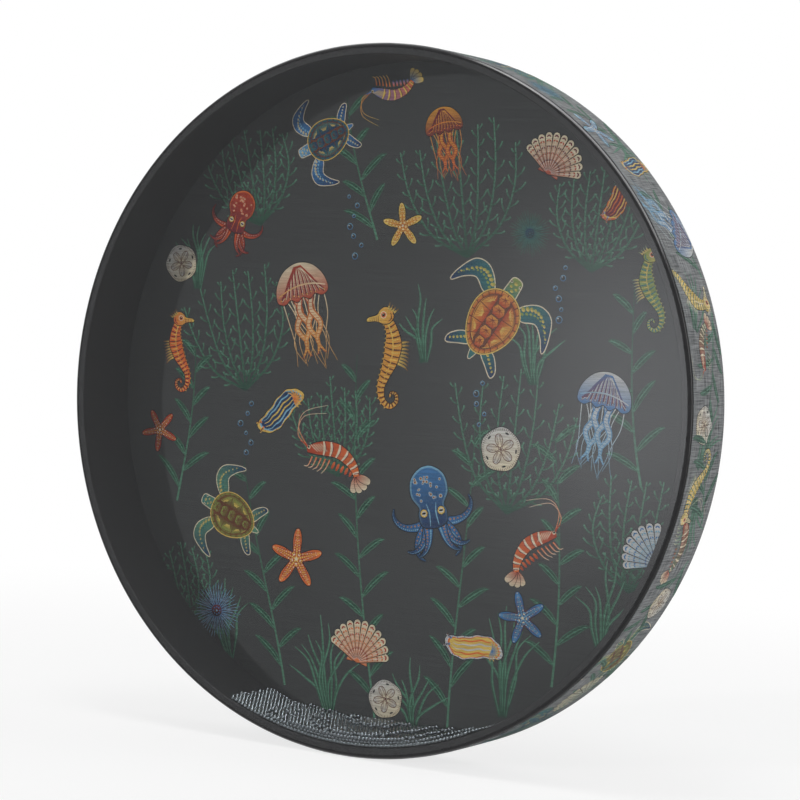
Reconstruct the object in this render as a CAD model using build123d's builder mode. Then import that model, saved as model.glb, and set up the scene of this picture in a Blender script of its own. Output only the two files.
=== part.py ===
from build123d import *
import math
import os
import random

# Ocean drum: a shallow frame drum, closed by two film heads, with loose steel balls inside.
# The drum stands on its rim as in use: its axis lies along Y, the clear head faces -Y,
# +Z is up and the origin is the drum's centre. All sizes are in millimetres.

# ---- driving sizes of the drum
drum_diameter = 558.8  # over the wrap
drum_depth = 63.5  # over both heads
shell_wall = 8.0
shell_inner_chamfer = 0.6
film_thickness = 0.25
cloth_thickness = 0.2  # printed cloth inside the rear film
wrap_thickness = 0.6
bond_thickness = 0.2
glue_line = 0.05  # between faces that are glued together
shoulder_radius = 3.0  # outside bend of a head, from its flat face into its collar
collar_width = 12.0  # from a head's flat face to its collar's cut edge
bond_setback = 1.0  # from each end of a collar's straight part to the bond's edge
wrap_setback = 3.5  # from a head's flat face to the wrap's cut edge
seam_gap = 0.4  # where the wrap's two ends meet
seam_angle = -6.7  # degrees from the top, towards +X

# ---- driving sizes of the balls
ball_diameter = 3.175  # 1/8 in
ball_play = 0.03  # between neighbouring balls
running_clearance = 0.3  # between the balls and the chamber's walls
heap_depth = 14.0  # from the shell to the top of the heap, at its middle
heap_lean = 3.0  # how much deeper the heap is at the rear than at the front
heap_half_angle = 24.5  # degrees, from the middle to each end of the single layer
mound_half_angle = 21.0  # degrees, from the middle to where the second layer ends
heap_roughness = 0.8  # of a layer: how unevenly the heap's top is filled
heap_raggedness = 1.5  # balls: how unevenly the rows end
heap_seed = 7

# ---- radii, from the outside in
wrap_outer = drum_diameter / 2
wrap_inner = wrap_outer - wrap_thickness
shell_outer = wrap_inner - glue_line
shell_inner = shell_outer - shell_wall
collar_outer = wrap_inner - glue_line
collar_inner = collar_outer - film_thickness
bond_outer = collar_inner - glue_line
bond_inner = bond_outer - bond_thickness
rebate_radius = bond_inner - glue_line
flat_radius = collar_outer - shoulder_radius

# ---- places along the drum's axis, from the front to the rear
front_face = -drum_depth / 2
rear_face = drum_depth / 2
shell_front = front_face + film_thickness + glue_line
cloth_rear = rear_face - film_thickness - glue_line
cloth_front = cloth_rear - cloth_thickness
shell_rear = cloth_front - glue_line
rebate_width = collar_width + glue_line


def ring_profile(inner, outer, low, high, mode=Mode.ADD):
    """A rectangle between two radii and two places on the axis, in a sketch of radius and axis."""
    with Locations(((inner + outer) / 2, (low + high) / 2)):
        return Rectangle(outer - inner, high - low, mode=mode)


def write_piece(piece, name):
    piece.label = name
    export_step(piece, f"parts/{name}.step")


def make_shell():
    """Moulded fibre ring with rounded outer edges, and a rebate at each end for a head's collar."""
    with BuildPart() as shell:
        with BuildSketch(Plane.XY) as profile:
            ring_profile(shell_inner, shell_outer, shell_front, shell_rear)
            front_step = front_face + rebate_width
            rear_step = rear_face - rebate_width
            ring_profile(rebate_radius, shell_outer, shell_front, front_step, Mode.SUBTRACT)
            ring_profile(rebate_radius, shell_outer, rear_step, shell_rear, Mode.SUBTRACT)
            ends = profile.vertices().group_by(Axis.Y)
            outer_corners = [ends[0].sort_by(Axis.X)[-1], ends[-1].sort_by(Axis.X)[-1]]
            fillet(outer_corners, rebate_radius - flat_radius)
            inner_corners = profile.vertices().group_by(Axis.X)[0]
            chamfer(inner_corners, shell_inner_chamfer)
        revolve(axis=Axis.Y)
    return shell.part


def make_head(side):
    """A film head: flat disc, rounded shoulder and the collar that is glued outside the shell."""
    face = side * drum_depth / 2
    back = face - side * film_thickness
    cut_edge = face - side * collar_width
    with BuildPart() as head:
        with BuildSketch(Plane.XY):
            with BuildLine():
                outside = FilletPolyline(
                    (0, face), (collar_outer, face), (collar_outer, cut_edge),
                    radius=shoulder_radius,
                )
                inside = FilletPolyline(
                    (collar_inner, cut_edge), (collar_inner, back), (0, back),
                    radius=shoulder_radius - film_thickness,
                )
                Line(outside @ 1, inside @ 0)
                Line(inside @ 1, outside @ 0)
            make_face()
        revolve(axis=Axis.Y)
    return head.part


def make_bond(side):
    """The band of adhesive between a head's collar and the shell."""
    outer_end = side * (drum_depth / 2 - shoulder_radius - bond_setback)
    inner_end = side * (drum_depth / 2 - collar_width + bond_setback)
    with BuildPart() as bond:
        with BuildSketch(Plane.XY):
            low, high = sorted((outer_end, inner_end))
            ring_profile(bond_inner, bond_outer, low, high)
        revolve(axis=Axis.Y)
    return bond.part


def make_rear_cloth():
    """The printed cloth that lies between the rear film and the shell's rear edge."""
    with BuildPart() as cloth:
        with BuildSketch(Plane.XZ.offset(-cloth_rear)):
            Circle(flat_radius)
        extrude(amount=cloth_thickness)
    return cloth.part


def make_wrap():
    """The printed covering round the outside, with its two ends butted near the top."""
    seam = math.radians(seam_angle)
    outward = (math.sin(seam), 0, math.cos(seam))
    sideways = (-math.cos(seam), 0, math.sin(seam))
    seam_arc = math.degrees(seam_gap / wrap_outer)
    with BuildPart() as wrap:
        with BuildSketch(Plane(origin=(0, 0, 0), x_dir=outward, z_dir=sideways)):
            low, high = front_face + wrap_setback, rear_face - wrap_setback
            ring_profile(wrap_inner, wrap_outer, low, high)
        revolve(axis=Axis.Y, revolution_arc=360 - seam_arc)
    return wrap.part


def heap_height(angle, depth):
    """How high a heap of some depth lies off the shell, at an angle from its middle."""
    rise = 1 - (angle / mound_half_angle) ** 2
    return ball_diameter + max(0, depth - ball_diameter) * max(0, rise)


def ball_centres():
    """Close-packed layers that follow the shell, each in rows round the drum's axis."""
    chance = random.Random(heap_seed)
    pitch = ball_diameter + ball_play
    layer_rise = pitch * math.sqrt(2 / 3)
    row_pitch = pitch * math.sqrt(3) / 2
    front_row = shell_front + running_clearance + ball_diameter / 2
    rear_row = cloth_front - running_clearance - ball_diameter / 2
    row_gaps = math.floor((rear_row - front_row) / row_pitch)
    row_pitch = (rear_row - front_row) / row_gaps
    middle = (front_row + rear_row) / 2
    lowest_radius = shell_inner - running_clearance - ball_diameter / 2
    deepest = heap_depth + abs(heap_lean) / 2
    layers = math.floor((deepest - ball_diameter) / layer_rise) + 1
    step = math.degrees(pitch / (lowest_radius - (layers - 1) * layer_rise))
    half_count = math.ceil(heap_half_angle / step)
    centres = []
    for layer in range(layers):
        rise = layer * layer_rise
        radius = lowest_radius - rise
        set_back = row_pitch / 3 * (layer % 2)
        for row in range(row_gaps + 1 - layer % 2):
            y = front_row + set_back + row * row_pitch
            depth = heap_depth + heap_lean * (y - middle) / (rear_row - front_row)
            shift = step / 2 * ((row + layer) % 2)
            row_end = heap_half_angle - heap_raggedness * step * chance.random()
            for number in range(-half_count, half_count + 1):
                angle = number * step + shift
                unevenness = heap_roughness * layer_rise * chance.random()
                room = heap_height(angle, depth) - unevenness
                settled = layer == 0 or rise + ball_diameter <= room
                if abs(angle) <= row_end and settled:
                    turn = math.radians(angle)
                    centres.append((radius * math.sin(turn), y, -radius * math.cos(turn)))
    return centres


def make_balls():
    """Every ball is a solid of its own."""
    with BuildPart() as ball:
        Sphere(ball_diameter / 2)
    sphere = ball.part.solid()
    return Compound([sphere.moved(Location(centre)) for centre in ball_centres()])


os.makedirs("parts", exist_ok=True)
write_piece(make_shell(), "shell")
write_piece(make_head(-1), "front_head")
write_piece(make_head(1), "rear_head")
write_piece(make_bond(-1), "front_bond")
write_piece(make_bond(1), "rear_bond")
write_piece(make_rear_cloth(), "rear_cloth")
write_piece(make_wrap(), "outer_wrap")
write_piece(make_balls(), "steel_balls")
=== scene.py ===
import cmath
import math
import random

import bpy
import numpy as np
from mathutils import Matrix, Vector
from mathutils.geometry import delaunay_2d_cdt


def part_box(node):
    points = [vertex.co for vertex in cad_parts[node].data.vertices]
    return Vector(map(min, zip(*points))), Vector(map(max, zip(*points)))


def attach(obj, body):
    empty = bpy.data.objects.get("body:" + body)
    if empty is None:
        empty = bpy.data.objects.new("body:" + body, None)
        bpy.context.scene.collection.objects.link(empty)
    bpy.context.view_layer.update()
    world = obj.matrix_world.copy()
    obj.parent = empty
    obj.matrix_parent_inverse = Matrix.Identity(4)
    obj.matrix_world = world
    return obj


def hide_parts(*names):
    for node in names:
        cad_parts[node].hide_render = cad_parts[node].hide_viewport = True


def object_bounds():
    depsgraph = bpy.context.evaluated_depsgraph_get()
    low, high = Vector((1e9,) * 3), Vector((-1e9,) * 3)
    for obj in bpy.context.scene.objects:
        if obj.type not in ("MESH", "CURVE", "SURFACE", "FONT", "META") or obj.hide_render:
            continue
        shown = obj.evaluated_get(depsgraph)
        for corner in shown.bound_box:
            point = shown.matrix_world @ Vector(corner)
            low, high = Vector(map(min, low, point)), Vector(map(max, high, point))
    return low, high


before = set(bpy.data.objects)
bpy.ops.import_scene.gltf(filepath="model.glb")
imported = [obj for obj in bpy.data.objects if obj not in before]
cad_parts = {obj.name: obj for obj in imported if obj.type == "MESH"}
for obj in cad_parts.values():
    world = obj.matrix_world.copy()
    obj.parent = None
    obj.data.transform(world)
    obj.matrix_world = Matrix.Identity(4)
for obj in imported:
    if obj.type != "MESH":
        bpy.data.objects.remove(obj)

cad_low, cad_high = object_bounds()

# Sizes are in metres, apart from the prints' drawings, which are in millimetres. The drum stands
# on its rim, its clear head faces -Y and +Z is up.

# ---- the camera, found from the drum's outline in the photo, before the drum was turned
DRUM_TURN = 5.1  # degrees about the drum's axis, so that the heap of balls hangs straight down
CAMERA_AZIMUTH = 30.485
CAMERA_ROLL = -1.274
CAMERA_DISTANCE = 2.0389
CAMERA_AIM = (0.01592, 0.000574)  # the point of the middle plane that the camera looks at, X and Z
SENSOR_WIDTH = 36.0  # mm, and so is the lens
LENS = 116.02
CLIP = 0.05, 50  # the distances between which the camera sees


def radii(node):
    """The least and the greatest distance of a CAD node from the drum's axis."""
    away = [math.hypot(v.co.x, v.co.z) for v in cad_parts[node].data.vertices]
    return min(away), max(away)


# ---- the drum's own sizes
GLUE_LINE = 0.00005
FILM_THICKNESS = 0.00025
SHELL_CHAMFER = 0.0006
SEAM_ANGLE = -6.7  # degrees from the top, towards +X
SEAM_GAP = 0.0004
TURNS = 480  # steps round the axis
SHELL_INNER, SHELL_OUTER = radii("shell")
REBATE_RADIUS = radii("front_bond")[0] - GLUE_LINE
WRAP_INNER, WRAP_OUTER = radii("outer_wrap")
HEAD_OUTER = radii("front_head")[1]
FLAT_RADIUS = radii("rear_cloth")[1]  # where a head's rounded shoulder begins
FLOOR_HEIGHT = cad_low.z

FRONT_HAZE = 0.16  # the share of the light that a film scatters and doesn't let through
REAR_HAZE = 0.12

# ---- the prints
PRINT_LIFT = 0.00008  # how far the head's print stands off its cloth
WEED_STEP = 0.0000012  # between one weed and the next, which may lie over it
WRAP_LIFT = 0.00009  # how far the wrap's print stands off its cloth
WRAP_STEP = WRAP_LIFT / 6  # between neighbours in the wrap's print, which may overlap
WEED_DEPTH = PRINT_LIFT * 0.45  # how far the first weed lies below the figures
PRINT_REACH = 275.5  # mm, the radius that the rear head's design fills
CUT_SPACING = 3.5  # mm, between the cuts that let a print follow the wrap's curve
MAP_MARGIN = 0.01  # the empty edge of each print's flat map
SHARP_ANGLE = 32  # degrees between two faces, from which the edge between them looks sharp

WRAP_PITCH = 0.0009  # from one thread of the wrap's weave to the next
WRAP_THREAD = 0.018  # the length over which a thread keeps its shade
WEFT_SHIFT = 0.37  # sets the weft's shades apart from the warp's

SCUFF_STRETCH = 12  # how much longer the head edge's scuffs are round the drum than along it

# ---- the floor
FLOOR_HALF = 4.0
FLOOR_GAP = 0.0002  # below the drum, so that the two don't share a plane
FLOOR_FADE = 0.35, 1.3  # the distances between which the floor fades into the background
FLOOR_GLOW = 0.75  # the background's share of the floor's colour under the drum

TURN = Matrix.Rotation(math.radians(-DRUM_TURN), 4, "Y")


# ---- inks of the prints


def ink(red, green, blue):
    """A colour given as a screen shows it, from 0 to 255."""
    return tuple((part / 255) ** 2.2 for part in (red, green, blue))


OUTLINE = ink(24, 26, 28)
GROUND = ink(58, 60, 61)
RUST = ink(178, 62, 34)
ORANGE = ink(226, 112, 48)
AMBER = ink(222, 156, 62)
GOLD = ink(230, 196, 96)
CREAM = ink(228, 214, 182)
BONE = ink(206, 206, 202)
BROWN = ink(104, 58, 36)
PLUM = ink(112, 38, 52)
SKY = ink(124, 178, 206)
BLUE = ink(54, 116, 172)
NAVY = ink(28, 54, 94)
TEAL = ink(44, 112, 112)
SEA = ink(88, 138, 112)
KELP = ink(44, 78, 64)
MOSS = ink(134, 152, 70)

# ---- drawing. A point is a complex number, in millimetres: its real part goes to the right and
# its imaginary part up.


def smooth(points, closed=True, steps=6):
    """A smooth line through a few points."""
    count = len(points)
    line = []
    for i in range(count if closed else count - 1):
        near = [i + k if closed else min(max(i + k, 0), count - 1) for k in (-1, 0, 1, 2)]
        a, b, c, d = (points[k % count] for k in near)
        for step in range(steps):
            t = step / steps
            bend = t * (c - a) / 2 + t ** 2 * (a - 2.5 * b + 2 * c - d / 2)
            line.append(b + bend + t ** 3 * (1.5 * (b - c) + (d - a) / 2))
    return line if closed else line + [points[-1]]


def oval(centre, wide, tall=None, turn=0, count=18):
    """An oval's outline, turned by some degrees."""
    tall = tall or wide
    turned = cmath.rect(0.5, math.radians(turn))
    angles = [2 * math.pi * k / count for k in range(count)]
    return [centre + turned * complex(wide * math.cos(a), tall * math.sin(a)) for a in angles]


def spokes(count):
    """Unit vectors that point evenly all round, the first one to the right."""
    return [cmath.rect(1, 2 * math.pi * k / count) for k in range(count)]


def square_to(path, i):
    """The unit vector to the left of a path, at one of its points."""
    ahead = path[i + 1] - path[i - 1]
    return 1j * ahead / abs(ahead)


def signed_area(outline):
    """An outline's area, which is positive where it runs counter-clockwise."""
    return sum((a.conjugate() * b).imag for a, b in zip(outline, outline[1:] + outline[:1])) / 2


def grown(outline, by):
    """An outline moved outwards, or inwards by a negative amount."""
    outward = -1j if signed_area(outline) > 0 else 1j
    ahead = [b - a for a, b in zip(outline[-1:] + outline[:-1], outline[1:] + outline[:1])]
    return [p + by * outward * a / (abs(a) or 1) for p, a in zip(outline, ahead)]


def blend(a, b, share):
    """A colour between two others."""
    return a[0] + (b[0] - a[0]) * share, a[1] + (b[1] - a[1]) * share, a[2] + (b[2] - a[2]) * share


def spread(values, share):
    """What a list of values spread evenly along a line comes to at a share of its length."""
    along = share * (len(values) - 1)
    k = min(int(along), len(values) - 2)
    return values[k] + (values[k + 1] - values[k]) * (along - k)


class Drawing:
    """Flat coloured shapes, each one lying over the shapes before it."""

    def __init__(self):
        self.shapes = []

    def fill(self, outline, colour, fade=None, way=-1j):
        """Fills an outline. Its colour may fade into another one along some way."""
        self.shapes.append((outline, colour, fade or colour, way))

    def edged(self, outline, edge, rim, colour, fade=None, way=-1j):
        """Fills an outline that has a coloured rim round it."""
        self.fill(grown(outline, edge), rim)
        self.fill(outline, colour, fade, way)

    def line(self, points, widths, colour, fade=None, steps=5):
        """Draws a smooth line, with its widths spread evenly along it."""
        path = smooth(points, closed=False, steps=steps)
        last = len(path) - 1
        rungs = []
        for i, place in enumerate(path):
            ahead = path[min(i + 1, last)] - path[max(i - 1, 0)]
            half = spread(widths, i / last) / 2 * 1j * ahead / (abs(ahead) or 1)
            rungs.append((place + half, place - half))
        if fade is None:
            self.fill([a for a, _ in rungs] + [b for _, b in reversed(rungs)], colour)
            return
        for i, ((a, b), (c, d)) in enumerate(zip(rungs, rungs[1:])):
            tint = blend(colour, fade, (i + 0.5) / last)
            self.fill([a, b, d, c], tint)

    def dot(self, place, size, colour):
        """Draws a round dot."""
        self.fill(oval(place, size, count=8), colour)

    def placed(self, at, turn=0, scale=1.0, mirrored=False):
        """A copy that is turned by some degrees, scaled and moved."""
        step = cmath.rect(scale, math.radians(turn))

        def moved(point):
            return step * (-point.conjugate() if mirrored else point)

        copy = Drawing()
        for outline, colour, fade, way in self.shapes:
            copy.shapes.append(([at + moved(p) for p in outline], colour, fade, moved(way)))
        return copy


# ---- motifs


def turtle(skin=TEAL, scale=MOSS, plate=RUST, glow=AMBER):
    """A swimming turtle seen from above, about 100 mm from flipper to flipper."""
    art = Drawing()
    for side in (-1, 1):
        def at(x, y):
            return complex(side * x, y)
        front = smooth([at(12, 14), at(17, 25), at(29, 33), at(42, 30), at(50, 14), at(51, 4), at(43, 13),
                        at(33, 19), at(22, 14)])
        rear = smooth([at(9, -22), at(18, -24), at(26, -33), at(25, -39), at(16, -34), at(7, -28)])
        for flipper in (front, rear):
            art.edged(flipper, 0.9, CREAM, skin, NAVY, at(1, -0.6))
        for k in range(10):
            share = k / 9
            place = at(17 + 30 * share, 19 + 12 * math.sin(0.3 + 2.6 * share) - 7 * share)
            art.fill(oval(place, 4.6 - 2.4 * share, 3.2 - 1.5 * share, side * -30), scale, GOLD)
            art.fill(oval(place + at(1.4, -3.9 + 1.4 * share), 3.0 - 1.5 * share, 2.2 - share), scale)
        for k in range(5):
            art.fill(oval(at(13 + 2.7 * k, -26 - 2.1 * k), 3.0 - 0.3 * k, 2.2), scale, GOLD)
    art.edged(smooth([-3 - 28j, 3 - 28j, 1.2 - 37j, -1.2 - 37j]), 0.7, CREAM, skin)
    head = smooth([-5 + 22j, -5.6 + 31j, -4 + 38j, 4 + 38j, 5.6 + 31j, 5 + 22j])
    art.edged(head, 0.9, CREAM, skin, scale, 1j)
    for x, y, size in ((0, 35, 4), (-2.6, 31, 3), (2.6, 31, 3), (0, 28, 3.4),
                       (-2.8, 25, 2.4), (2.8, 25, 2.4)):
        art.fill(oval(complex(x, y), size, size * 0.8, count=6), scale, GOLD)
    for side in (-1, 1):
        art.dot(side * 4.4 + 34.4j, 2.4, CREAM)
        art.dot(side * 4.6 + 34.6j, 1.5, OUTLINE)

    def egg(angle, size):
        a = math.radians(angle)
        return complex(22 * math.cos(a) * (1 + 0.16 * math.sin(a)), 27.5 * math.sin(a)) * size - 3j

    art.edged([egg(a, 1) for a in range(0, 360, 8)], 1.0, GOLD, BROWN)
    for k in range(24):
        rim = [egg(15 * k + a, 0.98) for a in (1, 7, 14)] + [egg(15 * k + a, 0.87) for a in (14, 7, 1)]
        art.fill(rim, plate, glow, egg(15 * k + 7, 1) + 3j)
    for side in (-1, 1):
        for first, last in ((22, 66), (-14, 20), (-46, -16), (-74, -48)):
            outer = [egg(a if side > 0 else 180 - a, 0.84) for a in spread_angles(first, last)]
            inner = [complex(side * 6.6, (p.imag + 3) * 0.86 - 3) for p in reversed(outer)]
            plate_edge = outer + inner
            art.fill(plate_edge, plate, glow, side)
            middle = sum(plate_edge) / len(plate_edge)
            hub = complex(side * 8.4, middle.imag)
            for p in outer:
                art.line([hub + 0.2 * (p - hub), hub + 0.9 * (p - hub)], (0.9, 0.35), GOLD, glow, steps=2)
            art.line([0.9 * (p - hub) + hub for p in outer], (0.5, 0.8, 0.5), BROWN)
    for y, wide in ((17.5, 11), (8, 12), (-2, 12), (-12, 11), (-21.5, 8)):
        hexagon = [complex(wide / 2 * x, y + 4.3 * v) for x, v in
                   ((-0.62, 1), (0.62, 1), (1, 0), (0.62, -1), (-0.62, -1), (-1, 0))]
        art.fill(hexagon, glow, plate)
        hub = (y + 1.5) * 1j
        for p in hexagon:
            art.line([hub, hub + 0.85 * (p - hub)], (0.9, 0.3), BROWN, plate, steps=2)
    return art


def spread_angles(first, last, count=6):
    """Angles spread evenly from one to another."""
    return [first + (last - first) * k / (count - 1) for k in range(count)]


def jellyfish(bell=RUST, stripe=CREAM, arms=AMBER):
    """A jellyfish with its bell up, about 56 mm across and 100 mm tall."""
    art = Drawing()
    chance = random.Random(4)
    for k in range(11):
        x = -22 + 4.4 * k
        sway = 5 * math.sin(1.3 * k)
        points = [complex(x, -1), complex(x * 0.9 + sway, -20), complex(x * 0.8 - sway, -42),
                  complex(x * 0.9 + sway, -58 - 12 * chance.random())]
        art.line(points, (1.0, 0.8, 0.3), stripe, arms)
    for k in range(4):
        x = -9 + 6 * k
        lean = (-1) ** k * 3.5
        path = [complex(x, 0), complex(x + lean, -14), complex(x - lean, -28), complex(x + lean, -42),
                complex(x * 1.3, -54)]
        art.line(path, (5.5, 6.5, 4.5, 1.0), bell, arms)
        art.line(path, (3.2, 3.8, 2.4, 0.5), stripe, arms)
        for p in smooth(path, closed=False, steps=5)[1:]:
            art.line([p - 1.6, p + 1.6 - 0.8j], (0.5, 0.4), bell, steps=1)
    dome = smooth([-27 + 0j, -25 + 13j, -15 + 25j, 0 + 29.5j, 15 + 25j, 25 + 13j, 27 + 0j, 20 - 4j, 13 - 1j,
                   6.5 - 4.5j, 0 - 1j, -6.5 - 4.5j, -13 - 1j, -20 - 4j])
    art.edged(dome, 0.8, OUTLINE, stripe, bell)
    for k in range(-5, 6):
        rim = complex(4.6 * k, 0.5 - 1.2 * (k % 2))
        high = complex(3.2 * k, 22 - 0.55 * k * k)
        art.line([complex(0.7 * k, 27), high, rim], (0.7, 2.6, 2.9), bell, PLUM)
        art.line([complex(0.7 * k, 25), high + 0.5 - 2j, rim + 0.6], (0.3, 0.7, 0.5), stripe)
        art.dot(rim + 1j, 1.5, arms)
    art.line([-25 + 4j, -13 + 8j, 0 + 9.5j, 13 + 8j, 25 + 4j], (0.8, 1.4, 0.8), arms, stripe)
    return art


def seahorse(skin=AMBER, dark=BROWN, light=GOLD):
    """A seahorse that faces left, about 85 mm tall."""
    art = Drawing()
    spine = [-1 + 27j, 4 + 18j, 6 + 7j, 4 - 6j, 0 - 17j, -3 - 27j, -1 - 37j, 6 - 42j, 12 - 38j, 11.5 - 32j,
             7 - 31j, 6 - 34.5j]
    widths = (8, 11, 15.5, 13, 9, 6.5, 5, 4, 3.2, 2.6, 1.9, 1.2)
    for k in range(8):
        base = 11 + (9 - 2.3 * k) * 1j
        art.line([base, base + 6 + (1.6 - 0.5 * k) * 1j, base + 10 + (2 - k) * 1j], (1.9, 1.5, 0.5),
                 light, dark)
    art.line(spine, [w + 1.6 for w in widths], OUTLINE)
    art.line(spine, widths, skin)
    path = smooth(spine, closed=False, steps=5)
    for i in range(1, len(path) - 4, 2):
        side = square_to(path, i)
        half = spread(widths, i / (len(path) - 1)) / 2
        bulge = -0.12j * half * side
        art.line([path[i] + half * side, path[i] + bulge, path[i] - half * side], (1.0, 1.5, 0.7), dark)
        art.line([path[i + 1] + 0.9 * half * side, path[i + 1] + bulge, path[i + 1]],
                 (0.4, 1.0, 0.3), light)
        if half > 2:
            spike = [path[i] - half * side, path[i] - (half + 1.8) * side]
            art.line(spike, (1.6, 0.4), light, dark, steps=2)
    art.line([p - 0.23 * w * 1j for p, w in zip(spine[:6], widths)], (1.4, 1.0, 0.6), light, skin)
    head = smooth([2 + 35j, -3 + 37.5j, -8 + 35j, -11 + 30.5j, -19 + 27.5j, -19.6 + 24.6j, -11 + 25.4j,
                   -5 + 24j, 1 + 25j, 4.5 + 30j])
    art.edged(head, 0.8, OUTLINE, skin, light, -1)
    for k in range(4):
        art.line([complex(-1 + 1.8 * k, 35.5 - 0.7 * k), complex(0.4 + 2.8 * k, 41.5 - 1.6 * k)], (2.0, 0.5),
                 light, dark, steps=2)
    for k in range(5):
        nose = -17.6 + 27.6j + (1.9 + 0.5j) * k
        art.line([nose, complex(nose.real + 0.6, 25)], (0.6, 0.6), dark, steps=1)
    for size, colour in ((6.2, CREAM), (4.8, ORANGE), (3.0, OUTLINE)):
        art.dot(-5 + 31j, size, colour)
    art.dot(-5.6 + 31.7j, 1.0, CREAM)
    art.line([1.5 + 33j, 2.5 + 29j, 0 + 26j], (0.5, 1.1, 0.5), dark)
    return art


def starfish(arm=RUST, tip=ORANGE, bead=GOLD):
    """A starfish, about 56 mm across."""
    art = Drawing()

    def rim(angle, reach):
        return cmath.rect(6.5 + reach * abs(math.cos(2.5 * angle)) ** 3.2, angle)

    angles = [2 * math.pi * k / 90 for k in range(90)]
    art.edged([rim(a, 20) for a in angles], 0.9, OUTLINE, tip)
    for size in (0.86, 0.72, 0.56):
        art.fill([size * rim(a, 19) for a in angles], blend(tip, arm, 1.2 - size))
    for out in spokes(5):
        for j in range(11):
            reach = 2.2 + 2.2 * j
            art.dot(out * reach, 1.9 - 0.1 * j, bead)
            gap = 2.9 * (1 - j / 12)
            for side in (-1, 1):
                art.dot(out * (reach + 0.9 + side * gap * 1j), 1.5 - 0.07 * j, bead if j % 2 else CREAM)
                if j < 8:
                    art.dot(out * (reach + 1.4 + side * gap * 1.75j), 1.1, PLUM)
    art.dot(0j, 3.2, CREAM)
    return art


def scallop(shell=CREAM, band=RUST, edge=ORANGE):
    """A scallop shell with its hinge down, about 46 mm across."""
    art = Drawing()
    hinge = -17j
    for side in (-1, 1):
        art.edged([hinge - side, hinge + side * 11 - 1j, hinge + side * 9 + 6j, hinge + 5j], 0.7,
                  OUTLINE, shell, edge)
    ribs = 11
    for grow, inks in ((1.6, (OUTLINE, OUTLINE)), (0, (edge, shell))):
        for k in range(ribs):
            angle = math.radians(-66 + 132 * k / (ribs - 1))
            end = hinge + 1j * cmath.rect(35 - 3.5 * abs(angle) ** 2, -angle)
            art.line([hinge, end], (1.4 + grow, 6.9 + grow), *inks, 6)
            art.fill(oval(end, 6.9 + grow, count=10), inks[1])
    for k in range(ribs):
        angle = math.radians(-66 + 132 * k / (ribs - 1))
        way = 1j * cmath.rect(1, -angle)
        reach = 35 - 3.5 * abs(angle) ** 2
        for at, wide, tint in ((0.34, 0.75, band), (0.52, 0.8, edge), (0.7, 0.9, band), (0.86, 0.85, edge),
                               (0.98, 0.7, band)):
            centre = hinge + way * reach * at
            half = 0.5 * 6.4 * at * wide
            art.line([centre - half * way * 1j, centre + 1.1 * way, centre + half * way * 1j],
                     (0.6, 2.0, 0.6), tint, steps=3)
        art.line([hinge + 3 * way, hinge + way * reach], (0.3, 0.8), BONE, shell, steps=3)
        gap = 1j * cmath.rect(1, -(angle + math.radians(66 / (ribs - 1))))
        if k < ribs - 1:
            art.line([hinge + 4 * gap, hinge + gap * reach * 0.97], (0.4, 0.9), BROWN, OUTLINE, steps=3)
    return art


def sand_dollar(disc=BONE, mark=BROWN):
    """A sand dollar, about 38 mm across."""
    art = Drawing()
    outline = [(19 + 0.5 * (way ** 5).real) * way for way in spokes(60)]
    art.edged(outline, 0.8, OUTLINE, disc, CREAM)
    for way in spokes(60):
        art.line([16.4 * way, 18.6 * way], (0.3, 0.7), mark, GROUND, steps=1)
    for way in [1j * out for out in spokes(5)]:
        petal = smooth([way * p for p in (2, 7 + 3.1j, 12 + 2.4j, 13.4, 12 - 2.4j, 7 - 3.1j)])
        art.edged(petal, 0.7, mark, CREAM, disc, way)
        for j in range(8):
            for side in (-1, 1):
                reach = 4.2 + 1.1 * j
                art.line([way * complex(reach, side * 0.7), way * complex(reach + 0.5, side * 2.3)],
                         (0.5, 0.4), mark, steps=1)
        art.fill(oval(-way * 15.2, 1.7, 4.2, math.degrees(cmath.phase(way))), OUTLINE)
    art.dot(0j, 2.6, mark)
    return art


def urchin(core=PLUM, spine=BLUE, tip=SKY):
    """A sea urchin, about 52 mm across."""
    art = Drawing()
    chance = random.Random(9)
    for ring, (count, reach, wide) in enumerate(((44, 26, 1.3), (34, 20, 1.5), (22, 13, 1.6))):
        for k in range(count):
            way = cmath.rect(1, 2 * math.pi * (k + 0.3 * ring + 0.3 * chance.random()) / count)
            out = reach * (0.86 + 0.2 * chance.random())
            art.line([5 * way, out * way], (wide + 0.8, 0.7), OUTLINE, steps=2)
            art.line([5 * way, (out - 0.3) * way], (wide, 0.35), blend(core, spine, ring / 3), tip, steps=3)
    art.fill(oval(0j, 11), core, OUTLINE)
    for way in spokes(8):
        art.dot(3.4 * way, 1.5, spine)
    art.dot(0j, 1.8, tip)
    return art


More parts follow.
